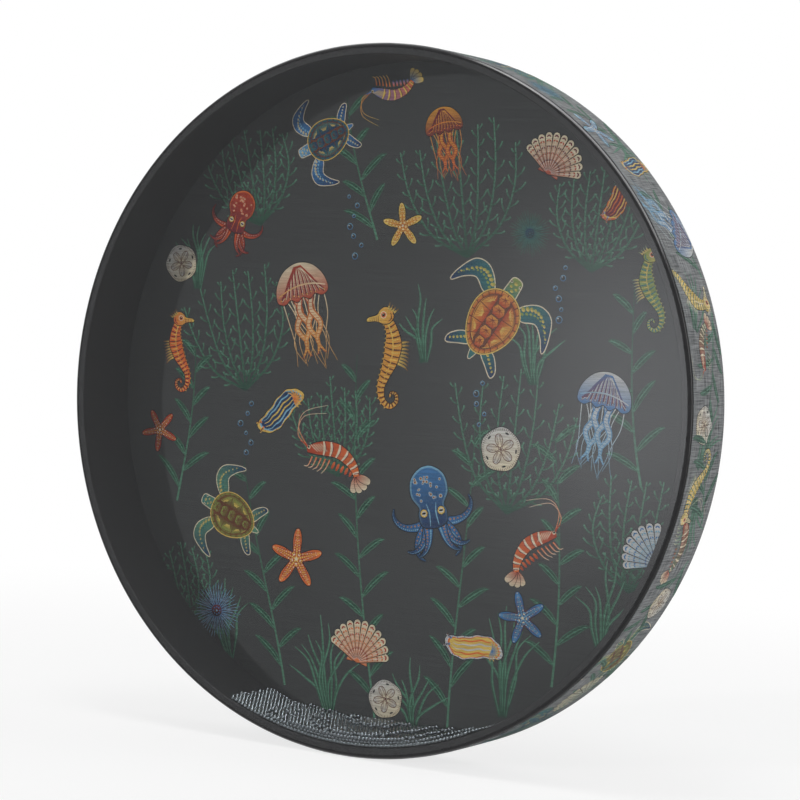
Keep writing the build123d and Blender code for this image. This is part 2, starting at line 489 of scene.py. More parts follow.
def octopus(skin=BLUE, dark=NAVY, glow=SKY, spot=AMBER):
    """An octopus with its arms spread below it, about 92 mm across."""
    art = Drawing()
    outer, inner = ((0.1, 42, 1.5), (0.7, 36, -1.4), (1.2, 34, 1.2)), ((1.48, 30, 0.9),)
    arms = [(side, *arm) for group in (outer, inner) for side in (-1, 1) for arm in group]
    for side, droop, length, curl in arms:
        place, heading, path = complex(side * 6, -6), -droop, []
        for step in range(9):
            path.append(place)
            place += length / 8 * complex(side * math.cos(heading), math.sin(heading))
            heading += curl * (0.02 + 0.055 * step)
        widths = (8.5, 6.6, 5, 3.4, 1.0)
        art.line(path, [w + 1.5 for w in widths], OUTLINE, steps=4)
        art.line(path, widths, skin, dark, steps=4)
        line = smooth(path, closed=False, steps=3)
        for i in range(2, len(line) - 1):
            across = square_to(line, i) * spread(widths, i / (len(line) - 1))
            art.dot(line[i] - side * 0.27 * across, 1.7 - 0.05 * i, glow)
            if i % 2 and i < 18:
                art.dot(line[i] + side * 0.2 * across, 1.9 - 0.06 * i, spot)
                art.dot(line[i] + side * 0.2 * across, 1.0 - 0.03 * i, dark)
    mantle = smooth([-11 - 7j, -13 + 2j, -11.5 + 8j, -17 + 18j, -15 + 31j, -5 + 39j, 6 + 39j, 15.5 + 31j,
                     17 + 18j, 11.5 + 8j, 13 + 2j, 11 - 7j, 0 - 10j])
    art.edged(mantle, 0.8, OUTLINE, glow, dark)
    art.fill(grown(mantle, -1.6), skin, dark)
    chance = random.Random(12)
    for _ in range(26):
        place = complex(chance.uniform(-12, 12), chance.uniform(13, 35))
        size = chance.uniform(2.0, 4.2)
        if abs(place - 22j) < 15:
            art.dot(place, size, glow)
            art.dot(place, size * 0.66, spot)
            art.dot(place, size * 0.36, dark)
    for side in (-1, 1):
        for size, colour in ((7.6, OUTLINE), (6.6, GOLD), (4.4, BONE)):
            art.dot(side * 8 + 3j, size, colour)
        art.fill(oval(side * 8 + 3j, 4.0, 1.6), OUTLINE)
        art.line([side * 4 - 8j, side * 3 + 2j, side * 4.5 + 10j], (0.5, 1.2, 0.4), glow)
    return art


def shrimp(body=RUST, band=CREAM, leg=ORANGE):
    """A banded shrimp that faces left, about 62 mm long without its feelers."""
    art = Drawing()
    for k in range(2):
        art.line([-22 + 4j, -34 + (14 + 5 * k) * 1j, -30 + (30 + 4 * k) * 1j, -8 + (36 + 7 * k) * 1j],
                 (1.0, 0.7, 0.3), leg, band, steps=8)
    for k in range(5):
        base = complex(-17 + 4.5 * k, -3)
        art.line([base, base - 3 - 8j, base - 7 - 9j - k * 1j], (1.5, 1.0, 0.4), leg, band)
    for k in range(5):
        base = complex(5 + 4.6 * k, -4.6 - 0.9 * k)
        art.fill(oval(base - 2.6j, 2.6, 7, -20), leg, body)
    for k in range(4):
        way = cmath.rect(1, math.radians(-95 + 27 * k))
        lobe = [29 - 12j + way * p for p in smooth([0, 6 + 3.2j, 14 + 2.4j, 14 - 2.4j, 6 - 3.2j])]
        art.edged(lobe, 0.5, OUTLINE, body, band, way)
    spine = [-23 + 2j, -14 + 4.5j, -4 + 6j, 8 + 5.6j, 19 + 0.5j, 26 - 6j, 29.5 - 12.5j]
    widths = (4, 10, 12.5, 12, 10, 7.5, 5)
    art.line(spine, [w + 1.6 for w in widths], OUTLINE)
    art.line(spine, widths, body, leg, steps=8)
    path = smooth(spine, closed=False, steps=8)
    for i in range(14, len(path) - 3, 5):
        side = square_to(path, i) * spread(widths, i / (len(path) - 1)) / 2
        art.line([path[i] + side, path[i] + 1.2, path[i] - side], (1.4, 2.6, 1.2), band)
        art.line([path[i] + side + 1.4, path[i] + 2.6, path[i] - side + 1.2], (0.5, 0.8, 0.4), PLUM)
    for k in range(5):
        art.line([-20 + 7j + (2.4 + 0.6j) * k, -12 + 2j + (2.4 + 0.4j) * k], (0.5, 0.9, 0.3), band)
    art.line([-22 + 4j, -27 + 7.5j, -31 + 8.5j], (2.2, 1.2, 0.3), body)
    art.dot(-21.5 + 4.6j, 3.4, band)
    art.dot(-21.8 + 4.8j, 2.2, OUTLINE)
    return art


def sea_slug(skin=NAVY, rim=GOLD, stripe=SKY, plume=ORANGE):
    """A sea slug seen from above, about 60 mm long."""
    art = Drawing()
    angles = [2 * math.pi * k / 96 for k in range(96)]

    def edge(angle, size):
        wave = 1 + 0.05 * math.sin(13 * angle)
        bend = 5 * math.sin(math.pi * math.cos(angle) * 0.8)
        return complex(29 * size * math.cos(angle), 11 * size * wave * math.sin(angle) + bend)

    art.edged([edge(a, 1) for a in angles], 0.7, OUTLINE, rim)
    art.fill([edge(a, 0.9) for a in angles], stripe)
    art.fill([edge(a, 0.84) for a in angles], skin)
    for height in (-0.55, -0.2, 0.2, 0.55):
        points = []
        for k in range(9):
            x = -0.72 + 0.18 * k
            bend = 5 * math.sin(math.pi * x * 0.8)
            points.append(complex(29 * x, 11 * height * math.sqrt(1 - x * x) + bend + 0.6 * math.sin(4 * k)))
        art.line(points, (0.4, 1.5, 1.5, 0.4), rim if abs(height) < 0.3 else stripe)
    for k in range(22):
        a = 2 * math.pi * k / 22
        art.dot(edge(a, 0.95), 1.1, plume)
    for side in (-1, 1):
        art.line([-23 - 3j + side * 2.5j, -29 - 4j + side * 5j], (2.2, 1.3), plume, rim, steps=3)
        for j in range(3):
            art.dot(-25 - 1.6 * j - 3.3j + side * (3.3 + 0.8 * j) * 1j, 1.4, BROWN)
    for k in range(9):
        way = cmath.rect(1, math.radians(-100 + 25 * k))
        art.line([18 + 3.4j, 18 + 3.4j + 5 * way, 18 + 3.4j + 9 * way * cmath.rect(1, 0.3)], (2.0, 1.6, 0.5),
                 plume, GOLD, steps=3)
    return art


def kelp(height, sway, leaves, seed, dark=KELP, light=SEA):
    """A strand of kelp that stands on its foot, with its leaves on both sides."""
    art = Drawing()
    chance = random.Random(seed)

    def stem(share):
        return complex(sway * math.sin(2.6 * share + seed) - sway * math.sin(seed), height * share)

    for k in range(leaves):
        share = 0.08 + 0.9 * k / leaves
        side = 1 if k % 2 else -1
        root = stem(share)
        length = (34 - 14 * share) * (0.85 + 0.3 * chance.random())
        lift = math.radians(38 + 22 * chance.random())
        out = complex(side * math.cos(lift), math.sin(lift))
        path = [root, root + length * 0.4 * out, root + length * 0.75 * out + side * length * 0.1,
                root + length * out - length * 0.12j + side * length * 0.1]
        art.line(path, (1.2, 5.0, 5.4, 3.4, 0.4), light, dark)
        art.line(path, (0.4, 3.8, 4.2, 2.2, 0.2), dark)
        art.line(path, (0.5, 0.9, 0.3), light)
        for j in range(1, 6):
            middle = spread(path, j / 6.5)
            for hand in (-1, 1):
                vein = [middle, middle + 1.9 * out * cmath.rect(1, hand * 0.8)]
                art.line(vein, (0.4, 0.25), light, steps=1)
        art.fill(oval(root + 1.6 * out, 2.6, 1.8, math.degrees(lift) * side), light, dark)
    art.line([stem(k / 12) for k in range(13)], (2.0, 1.5, 0.7), light, dark, steps=3)
    return art


def grass(blades, height, reach, seed, dark=KELP, light=SEA):
    """A tuft of sea grass."""
    art = Drawing()
    chance = random.Random(seed)
    for k in range(blades):
        lean = (k / (blades - 1) - 0.5) * 2
        tall = height * (1 - 0.35 * abs(lean)) * (0.8 + 0.25 * chance.random())
        wave = 5 * chance.uniform(-1, 1)
        path = [complex(3 * lean, 0), complex(reach * 0.25 * lean + wave, tall * 0.45),
                complex(reach * 0.6 * lean - wave * 0.5, tall * 0.8), complex(reach * lean, tall)]
        art.line(path, (2.0, 2.6, 1.8, 0.3), dark, light)
        art.line([p + 0.3 for p in path], (0.4, 0.9, 0.6, 0.2), light, steps=4)
    return art


def sea_fan(height, seed, dark=KELP, light=SEA):
    """A bushy weed: fronds with short side branches."""
    art = Drawing()
    chance = random.Random(seed)
    for k in range(7):
        lean = (k - 3) / 3
        tall = height * (1 - 0.16 * lean * lean) * (0.85 + 0.2 * chance.random())
        bow = [complex(wide * height * lean, rise * tall) for wide, rise in
               ((0, 0), (0.27, 0.24), (0.42, 0.6), (0.45 + chance.uniform(-0.08, 0.08), 1))]
        path = smooth(bow, closed=False)
        art.line(path, (2.3, 1.8, 1.1), dark, light, steps=1)
        for i in range(3, len(path) - 1):
            ahead = (path[i + 1] - path[i]) / abs(path[i + 1] - path[i])
            side = 1 if (i + k) % 2 else -1
            long = (9 * math.sin(math.pi * i / len(path)) + 3) * chance.uniform(0.7, 1.2)
            tip = path[i] + long * ahead * cmath.rect(1, side * 0.7)
            branch = [path[i], path[i] + 0.5 * (tip - path[i]) + side * 0.12 * long * 1j * ahead, tip]
            art.line(branch, (1.0, 1.3, 1.5), dark, light, steps=3)
    return art


def bubbles(count, seed):
    """A rising string of bubbles."""
    art = Drawing()
    chance = random.Random(seed)
    for k in range(count):
        place = complex(5 * math.sin(1.7 * k) + chance.uniform(-2, 2), 9 * k)
        size = chance.uniform(2.4, 5.5)
        art.fill(oval(place, size + 1.1, count=14), SKY, BLUE)
        art.fill(oval(place, size, count=14), GROUND)
        art.dot(place + size * (-0.2 + 0.2j), size * 0.24, BONE)
    return art


# ---- the prints' layouts


def sea_print():
    """The rear head's design, weeds first: motif, right, up, turn, and maybe scale and mirrored."""
    weeds = (
        (kelp(300, 12, 17, 3), -32, -262, 0),
        (kelp(250, 10, 14, 5), 34, -265, -3),
        (kelp(190, 10, 11, 2), -118, -232, 5),
        (kelp(210, 9, 12, 7), 128, -225, -4),
        (kelp(150, 8, 9, 4), 208, -70, 4),
        (kelp(140, 8, 9, 6), -222, -80, -6),
        (kelp(120, 7, 8, 9), -20, 130, 8),
        (sea_fan(104, 1), -150, 12, 6),
        (sea_fan(110, 2), 92, -90, -8),
        (sea_fan(112, 3), 62, 112, 4, 1, True),
        (sea_fan(90, 4), 195, -150, -12),
        (sea_fan(88, 5), -132, 148, 10),
        (sea_fan(84, 6), 170, 96, -10, 1, True),
        (sea_fan(80, 7), -214, -190, 14),
        (sea_fan(78, 8), -62, -60, 4),
        (grass(11, 84, 34, 1), -76, -258, 4),
        (grass(9, 92, 30, 2), 84, -250, -4),
        (grass(9, 70, 26, 3), -172, -212, 8),
        (grass(8, 76, 28, 4), 172, -200, -8),
        (grass(9, 60, 34, 5), 2, -268, 0),
        (grass(8, 62, 22, 6), -196, 98, 0),
        (grass(8, 66, 26, 7), 118, 10, -4),
        (grass(7, 60, 20, 8), 20, 30, 3),
    )
    figures = (
        (turtle(), 84, 62, -38, 0.98),
        (turtle(SEA, TEAL, BROWN, MOSS), -168, -92, 62, 0.8),
        (turtle(BLUE, SKY, NAVY, TEAL), -66, 214, 112, 0.72),
        (jellyfish(), -92, 88, 12, 0.92),
        (jellyfish(BLUE, BONE, SKY), 178, -6, -14, 0.84),
        (jellyfish(PLUM, AMBER, ORANGE), 44, 214, 8, 0.62),
        (seahorse(), -14, 38, -6, 1.0),
        (seahorse(MOSS, TEAL, GOLD), 222, 82, 10, 0.78, True),
        (seahorse(ORANGE, PLUM, GOLD), -214, 48, 8, 0.82, True),
        (octopus(), 26, -92, 10, 1.0),
        (octopus(RUST, PLUM, ORANGE, CREAM), -156, 150, -24, 0.72),
        (starfish(), -104, -128, 12, 0.95),
        (starfish(NAVY, BLUE, SKY), 104, -172, 30, 0.8),
        (starfish(AMBER, GOLD, RUST), 4, 140, 20, 0.7),
        (starfish(PLUM, RUST, AMBER), -238, -20, 44, 0.7),
        (scallop(), -44, -196, -16, 0.9),
        (scallop(BONE, BLUE, SKY), 214, -116, 24, 0.85),
        (scallop(CREAM, PLUM, RUST), 142, 186, -30, 0.85),
        (sand_dollar(), 88, -40, 10, 0.9),
        (sand_dollar(), -212, 120, 40, 0.8),
        (sand_dollar(), -22, -240, 25, 0.8),
        (urchin(), -184, -172, 0, 0.9),
        (urchin(NAVY, TEAL, SEA), 118, 128, 20, 0.7),
        (urchin(PLUM, RUST, ORANGE), 162, -226, 40, 0.7),
        (shrimp(), -70, -44, -10, 0.95),
        (shrimp(BLUE, GOLD, ORANGE), -6, 250, 170, 0.7, True),
        (shrimp(), 118, -116, 24, 0.85, True),
        (sea_slug(), -116, -6, 24, 0.9),
        (sea_slug(GOLD, BONE, ORANGE, BLUE), 60, -196, -20, 0.9),
        (sea_slug(PLUM, ORANGE, GOLD, SKY), 196, 152, 40, 0.75),
        (bubbles(7, 1), -40, 118, 4, 0.9),
        (bubbles(6, 2), 140, 60, -6, 0.9),
        (bubbles(6, 3), -150, -40, 0, 0.9),
        (bubbles(5, 4), 70, -20, 0, 0.9),
    )
    upright = cmath.rect(1, math.radians(DRUM_TURN))
    groups = []
    for kind, items in (("weed", weeds), ("figure", figures)):
        for number, (motif, right, up, turn, *form) in enumerate(items):
            drawing = motif.placed(upright * complex(right, up), turn + DRUM_TURN, *form)
            groups.append((f"{kind}_{number:02d}", drawing))
    return groups


def wrap_print():
    """The wrap's design: a row of motifs round it, and weeds between them."""
    chance = random.Random(21)
    figures = (
        turtle(SEA, TEAL, BROWN, MOSS), seahorse(GOLD, TEAL, CREAM), starfish(BLUE, SKY, BONE),
        scallop(CREAM, SEA, TEAL), shrimp(RUST, CREAM, SEA), sea_slug(NAVY, GOLD, SKY, RUST),
        octopus(TEAL, NAVY, SEA, GOLD), sand_dollar(), jellyfish(BLUE, BONE, SKY), urchin(TEAL, BLUE, SKY),
    )
    count = 36
    groups = []
    for number in range(count):
        middle = 2 * math.pi * 1000 * WRAP_OUTER * (number + 0.5) / count
        group = Drawing()
        weed = grass(7, 62, 26, number) if number % 2 else kelp(84, 5, 7, number)
        turn = chance.choice((70, 110, -70, -110)) + chance.uniform(-14, 14)
        lean = cmath.rect(1, math.radians(turn))
        group.shapes += weed.placed(middle - 40j * lean + chance.uniform(-8, 8) + 6j, turn, 0.95).shapes
        motif = figures[(3 * number + number // len(figures)) % len(figures)]
        place = complex(middle + chance.uniform(-7, 7), chance.uniform(-9, 9))
        group.shapes += motif.placed(place, chance.uniform(0, 360), chance.uniform(0.62, 0.82)).shapes
        groups.append((f"wrap_{number:02d}", group))
    return groups


# ---- meshes


def revolved(name, profile, first=0.0, sweep=2 * math.pi):
    """A closed profile of (radius, place on the axis), turned about Y from an angle off the top."""
    if signed_area([complex(*corner) for corner in profile]) < 0:
        profile = profile[::-1]
    whole = sweep == 2 * math.pi
    points, order = [], {}
    for turn in range(TURNS + 1):
        angle = first + sweep * turn / TURNS
        for i, (radius, along) in enumerate(profile):
            if whole and turn == TURNS or radius == 0 and turn > 0:
                order[turn, i] = order[0, i]
            else:
                order[turn, i] = len(points)
                points.append((radius * math.sin(angle), along, radius * math.cos(angle)))
    faces = []
    for turn in range(TURNS):
        for i in range(len(profile)):
            j = (i + 1) % len(profile)
            face = (order[turn, i], order[turn + 1, i], order[turn + 1, j], order[turn, j])
            face = tuple(dict.fromkeys(face))  # an edge on the axis has no length
            if len(face) > 2:
                faces.append(face)
    if not whole:
        faces.append([order[0, i] for i in range(len(profile))])
        faces.append([order[TURNS, i] for i in reversed(range(len(profile)))])
    mesh = bpy.data.meshes.new(name)
    mesh.from_pydata(points, [], faces)
    mesh.shade_smooth()
    mesh.set_sharp_from_angle(angle=math.radians(SHARP_ANGLE))
    return new_piece(name, mesh)


def new_piece(name, mesh):
    """An object of a mesh, that moves with the drum."""
    piece = bpy.data.objects.new(name, mesh)
    bpy.context.scene.collection.objects.link(piece)
    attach(piece, "drum")
    return piece


def arc_points(centre, radius, first, last, steps=10):
    """Points on an arc of a profile, from one angle to another in degrees."""
    angles = [math.radians(first + (last - first) * k / steps) for k in range(steps + 1)]
    return [(centre[0] + radius * math.cos(a), centre[1] + radius * math.sin(a)) for a in angles]


def shell_ring():
    """The fibre ring: rounded outside, chamfered inside, with a rebate at each end."""
    low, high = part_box("shell")[0].y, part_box("shell")[1].y
    front_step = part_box("front_head")[1].y + GLUE_LINE
    rear_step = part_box("rear_head")[0].y - GLUE_LINE
    round_radius = REBATE_RADIUS - FLAT_RADIUS
    profile = [(SHELL_INNER, low + SHELL_CHAMFER), (SHELL_INNER + SHELL_CHAMFER, low)]
    profile += arc_points((FLAT_RADIUS, low + round_radius), round_radius, -90, 0)
    profile += [(REBATE_RADIUS, front_step), (SHELL_OUTER, front_step)]
    profile += [(SHELL_OUTER, rear_step), (REBATE_RADIUS, rear_step)]
    profile += arc_points((FLAT_RADIUS, high - round_radius), round_radius, 0, 90)
    profile += [(SHELL_INNER + SHELL_CHAMFER, high), (SHELL_INNER, high - SHELL_CHAMFER)]
    ring = revolved("fibre_ring", profile)
    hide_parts("shell")
    ring.data.materials.append(shell_material())


def film_head(side, node, clear, edge):
    """A film head: the flat disc in one finish, and its shoulder and collar in another."""
    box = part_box(node)
    face = box[0].y if side < 0 else box[1].y
    cut = box[1].y if side < 0 else box[0].y
    round_radius = HEAD_OUTER - FLAT_RADIUS
    centre = (FLAT_RADIUS, face - side * round_radius)
    outside = arc_points(centre, round_radius, side * 90, 0)
    inside = arc_points(centre, round_radius - FILM_THICKNESS, 0, side * 90)
    inner_wall = HEAD_OUTER - FILM_THICKNESS
    profile = [(0, face)] + outside + [(HEAD_OUTER, cut), (inner_wall, cut)]
    profile += inside + [(0, face - side * FILM_THICKNESS)]
    head = revolved(f"{node}_film", profile)
    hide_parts(node)
    head.data.materials.append(clear)
    head.data.materials.append(edge)
    for polygon in head.data.polygons:
        rounded = math.hypot(polygon.center.x, polygon.center.z) > FLAT_RADIUS
        polygon.material_index = int(rounded)
        polygon.use_smooth = rounded


def plain_ring(name, node, slot, material, inner, outer, low, high, **part_turn):
    """A ring of rectangular section that stands for a CAD node."""
    ring = revolved(name, [(inner, low), (outer, low), (outer, high), (inner, high)], **part_turn)
    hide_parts(node)
    ring.data.materials.append(material)


def rings():
    """The pieces that are turned about the axis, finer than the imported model's."""
    shell_ring()
    edge = head_edge_material()
    film_head(-1, "front_head", film_material("clear_film", FRONT_HAZE), edge)
    film_head(1, "rear_head", film_material("rear_film", REAR_HAZE), edge)
    glue = adhesive_material()
    for node in ("front_bond", "rear_bond"):
        low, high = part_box(node)[0].y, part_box(node)[1].y
        plain_ring(f"{node}_glue", node, "adhesive", glue, *radii(node), low, high)
    low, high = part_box("rear_cloth")[0].y + PRINT_LIFT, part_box("rear_cloth")[1].y - PRINT_LIFT
    plain_ring("charcoal_cloth", "rear_cloth", "printed_cloth", cloth_material(), 0, FLAT_RADIUS, low, high)
    low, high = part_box("outer_wrap")[0].y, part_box("outer_wrap")[1].y
    seam = math.radians(SEAM_ANGLE)
    half_gap = SEAM_GAP / 2 / WRAP_OUTER
    plain_ring("woven_wrap", "outer_wrap", "printed_wrap", wrap_material(), WRAP_INNER,
               WRAP_OUTER - WRAP_LIFT, low, high, first=seam + half_gap, sweep=2 * math.pi - 2 * half_gap)


def inside(outline, places):
    """Which of some places an outline goes round."""
    a = np.array(outline)[:, None]
    b = np.roll(a, -1, axis=0)
    side = ((b - a).conjugate() * (places - a)).imag
    rising = (a.imag <= places.imag) & (b.imag > places.imag) & (side > 0)
    falling = (a.imag > places.imag) & (b.imag <= places.imag) & (side < 0)
    return rising.sum(0) != falling.sum(0)


def flattened(drawing, border, cuts=()):
    """What shows of a drawing inside a border: its points, its triangles and their corners' colours."""
    outlines = [border] + [shape[0] for shape in drawing.shapes]
    points, edges = [], []
    for outline in outlines:
        first, count = len(points), len(outline)
        points += outline
        edges += [(first + k, first + (k + 1) % count) for k in range(count)]
    for a, b in cuts:
        edges.append((len(points), len(points) + 1))
        points += [a, b]
    places, _, triangles, _, _, _ = delaunay_2d_cdt(
        [Vector((p.real, p.imag)) for p in points], edges, [], 0, 1e-4, False)
    places = np.array([complex(*place) for place in places])
    triangles = np.array(triangles)
    middles = places[triangles].mean(axis=1)
    top = np.full(len(triangles), -1)
    for number, outline in enumerate(outlines):
        left, right = min(p.real for p in outline), max(p.real for p in outline)
        low, high = min(p.imag for p in outline), max(p.imag for p in outline)
        near = np.flatnonzero((middles.real > left) & (middles.real < right)
                              & (middles.imag > low) & (middles.imag < high) & (top > -2))
        top[near[inside(outline, middles[near])]] = number
        if number == 0:
            top[top < 0] = -2
    shown = top > 0
    triangles, top = triangles[shown], top[shown] - 1
    near, far = (np.array([shape[k] for shape in drawing.shapes])[top][:, None] for k in (1, 2))
    ways = np.array([complex(shape[3]) for shape in drawing.shapes])
    spans = [[(p * way.conjugate()).real for p in shape[0]] for shape, way in zip(drawing.shapes, ways)]
    start, end = (np.array([pick(span) for span in spans])[top][:, None] for pick in (min, max))
    share = ((places[triangles] * ways[top][:, None].conjugate()).real - start) / (end - start)
    return places, triangles, near + (far - near) * np.clip(share, 0, 1)[:, :, None]


def printed_piece(name, flat, place, material, flipped=False):
    """A print as a thin sheet of coloured triangles, with its points put in place by a function."""
    points, triangles, colours = flat
    used, order = np.unique(triangles, return_inverse=True)
    points, faces = points[used], order.reshape(-1, 3)
    if flipped:
        faces, colours = faces[:, ::-1], colours[:, ::-1]
    mesh = bpy.data.meshes.new(name)
    mesh.from_pydata(place(points).tolist(), [], faces.tolist())
    inks = mesh.color_attributes.new("Ink", "FLOAT_COLOR", "CORNER")
    inks.data.foreach_set("color", np.insert(colours.reshape(-1, 3), 3, 1, axis=1).ravel())
    flat_map = mesh.uv_layers.new(name="OFBake")
    size = max(np.ptp(points.real), np.ptp(points.imag))
    corners = points[faces].ravel()
    scale = (1 - 2 * MAP_MARGIN) / size
    across = (corners.real - points.real.min()) * scale + MAP_MARGIN
    upward = (corners.imag - points.imag.min()) * scale + MAP_MARGIN
    flat_map.data.foreach_set("uv", np.stack([across, upward], axis=1).ravel())
    mesh.materials.append(material)
    new_piece(name, mesh)


def on_head(height):
    """Puts points of a drawing on the head, at a place on the axis."""
    return lambda p: np.stack([p.real / 1000, np.full(len(p), height), p.imag / 1000], axis=1)


def print_rear_head():
    """The design on both sides of the rear head's cloth, with the figures over the weeds."""
    front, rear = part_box("rear_cloth")[0].y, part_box("rear_cloth")[1].y
    border = oval(0j, 2 * PRINT_REACH, count=360)
    figure_ink = head_print_material("figure_print", darkest=0.68, lightest=1.0)
    weed_ink = head_print_material("weed_print", darkest=0.6, lightest=1.1)
    for number, (name, drawing) in enumerate(sea_print()):
        flat = flattened(drawing, border)
        if name.startswith("weed"):
            material, sunk = weed_ink, WEED_DEPTH - WEED_STEP * number
        else:
            material, sunk = figure_ink, 0
        printed_piece(f"{name}_front", flat, on_head(front + sunk), material)
        printed_piece(f"{name}_rear", flat, on_head(rear - sunk), material, flipped=True)


def print_wrap():
    """The design on the outside of the wrap, cut off at its edges and at its seam."""
    low, high = 1000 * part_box("outer_wrap")[0].y, 1000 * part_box("outer_wrap")[1].y
    material = wrap_print_material()
    seam = math.radians(SEAM_ANGLE)

    def on_wrap(radius):
        def place(p):
            angle = seam + p.real / 1000 / WRAP_OUTER
            return np.stack([radius * np.sin(angle), p.imag / 1000, radius * np.cos(angle)], axis=1)
        return place

    for number, (name, drawing) in enumerate(wrap_print()):
        radius = WRAP_OUTER - number % 2 * WRAP_STEP
        reach = [p.real for shape in drawing.shapes for p in shape[0]]
        left = max(min(reach) - 1, 500 * SEAM_GAP)
        right = min(max(reach) + 1, 1000 * (2 * math.pi * WRAP_OUTER - SEAM_GAP / 2))
        border = [complex(left, low), complex(right, low), complex(right, high), complex(left, high)]
        count = math.ceil((right - left) / CUT_SPACING)
        across = [left + CUT_SPACING * k for k in range(1, count)]
        cuts = [(complex(x, low - 1), complex(x, high + 1)) for x in across]
        flat = flattened(drawing, border, cuts)
        printed_piece(name, flat, on_wrap(radius), material)


# ---- node trees


class Nodes:
    """A node tree that is being built."""

    def __init__(self, owner):
        owner.use_nodes = True
        self.all, self.links = owner.node_tree.nodes, owner.node_tree.links

    def add(self, kind, **values):
        """A new node, with some of its sockets set or linked by name, with underscores."""
        node = self.all.new("ShaderNode" + kind)
        self.fill(node, **values)
        return node

    def fill(self, node, **values):
        """Sets a node's sockets, or links them to other nodes' outputs."""
        for name, value in values.items():
            self.put(node.inputs[name.replace("_", " ")], value)

    def put(self, socket, value):
        """Sets a socket, or links it to another node's output. A colour may leave out its alpha."""
        if isinstance(value, bpy.types.NodeSocket):
            self.links.new(value, socket)
        elif isinstance(value, tuple) and len(socket.default_value) > len(value):
            socket.default_value = (*value, 1)
        else:
            socket.default_value = value

    def maths(self, operation, *values):
        """A math node whose inputs are numbers or other nodes' outputs."""
        node = self.all.new("ShaderNodeMath")
        node.operation = operation
        for socket, value in zip(node.inputs, values):
            self.put(socket, value)
        return node.outputs[0]

    def place(self):
        """A point's place on the drum, in metres."""
        return self.add("TexCoord").outputs["Object"]

    def axes(self):
        """X, Y and Z of a point's place on the drum."""
        return self.add("SeparateXYZ", Vector=self.place()).outputs

    def joined(self, x, y, z=0.0):
        """A vector of three numbers or outputs."""
        return self.add("CombineXYZ", X=x, Y=y, Z=z).outputs[0]

    def noise(self, vector, scale, detail):
        """A cloudy pattern, from 0 to 1."""
        return self.add("TexNoise", Vector=vector, Scale=scale, Detail=detail).outputs["Fac"]

    def ramp(self, factor, *stops):
        """A colour ramp of (place, colour) stops, or of (place, grey) ones."""
        node = self.add("ValToRGB", Fac=factor)
        for element, (place, colour) in zip(node.color_ramp.elements, stops):
            element.position = place
            element.color = (*(colour if isinstance(colour, tuple) else [colour] * 3), 1)
        return node.outputs["Color"]

    def threads(self, along, across, pitch, length):
        """Fine threads that run along one way, as a noise drawn out that way."""
        short = self.maths("MULTIPLY", along, pitch / length)
        return self.noise(self.joined(short, across), 1 / pitch, detail=3.0)

    def weave(self):
        """The wrap's threads, round it and along its axis, as one height from 0 to 1."""
        x, y, z = self.axes()
        around = self.maths("MULTIPLY", self.maths("ARCTAN2", x, z), WRAP_OUTER)
        warp = self.threads(around, y, WRAP_PITCH, WRAP_THREAD)
        weft = self.threads(self.maths("ADD", y, WEFT_SHIFT), around, WRAP_PITCH, WRAP_THREAD)
        return self.maths("MULTIPLY", self.maths("ADD", warp, weft), 0.5)

    def inked(self, height, darkest, lightest):
        """Each printed shape's own colour, made lighter and darker by the threads under it."""
        inks = self.add("VertexColor")
        inks.layer_name = "Ink"
        shade = self.ramp(height, (0.38, darkest), (0.62, lightest))
        node = self.add("VectorMath")
        node.operation = "MULTIPLY"
        self.put(node.inputs[0], inks.outputs["Color"])
        self.put(node.inputs[1], shade)
        return node.outputs["Vector"]

    def bump(self, height, distance, strength):
        """A surface's normal where a height raises it."""
        return self.add("Bump", Height=height, Distance=distance, Strength=strength).outputs["Normal"]

    def seen_directly(self):
        """1 for camera, mirror and see-through rays, and 0 for the light that falls on things."""
        path = self.add("LightPath").outputs
        either = self.maths("MAXIMUM", path["Is Camera Ray"], path["Is Glossy Ray"])
        return self.maths("MAXIMUM", either, path["Is Transmission Ray"])

    def mixed(self, share, first, second):
        """A shader that is some share of the way from one to another."""
        node = self.add("MixShader", Fac=share)
        self.put(node.inputs[1], first.outputs[0])
        self.put(node.inputs[2], second.outputs[0])
        return node.outputs[0]


# ---- camera, lights and stage


def direction(azimuth, elevation):
    """The unit vector from the drum towards a place round it, as the photo sees it."""
    a, e = math.radians(azimuth), math.radians(elevation)
    return Vector((math.sin(a) * math.cos(e), -math.cos(a) * math.cos(e), math.sin(e)))


def make_camera():
    """The camera, where it stood for the photo."""
    place = CAMERA_DISTANCE * direction(CAMERA_AZIMUTH, 0)
    ahead = (Vector((CAMERA_AIM[0], 0, CAMERA_AIM[1])) - place).normalized()
    level = ahead.cross(Vector((0, 0, 1))).normalized()
    upright = level.cross(ahead)
    roll = math.radians(CAMERA_ROLL)
    right = math.cos(roll) * level + math.sin(roll) * upright
    up = math.cos(roll) * upright - math.sin(roll) * level
    pose = Matrix((right, up, -ahead)).transposed().to_4x4()
    pose.translation = place
    camera = bpy.data.objects.new("camera", bpy.data.cameras.new("camera"))
    camera.data.sensor_width = SENSOR_WIDTH
    camera.data.lens = LENS
    camera.data.clip_start, camera.data.clip_end = CLIP
    camera.matrix_world = TURN @ pose
    bpy.context.scene.collection.objects.link(camera)
    bpy.context.scene.camera = camera


def aim_lamp(name, data, azimuth, elevation, distance):
    """A lamp that stands round the drum and points at its middle."""
    lamp = bpy.data.objects.new(name, data)
    place = TURN @ (distance * direction(azimuth, elevation))
    lamp.matrix_world = Matrix.Translation(place) @ place.to_track_quat("Z", "Y").to_matrix().to_4x4()
    bpy.context.scene.collection.objects.link(lamp)
    return lamp


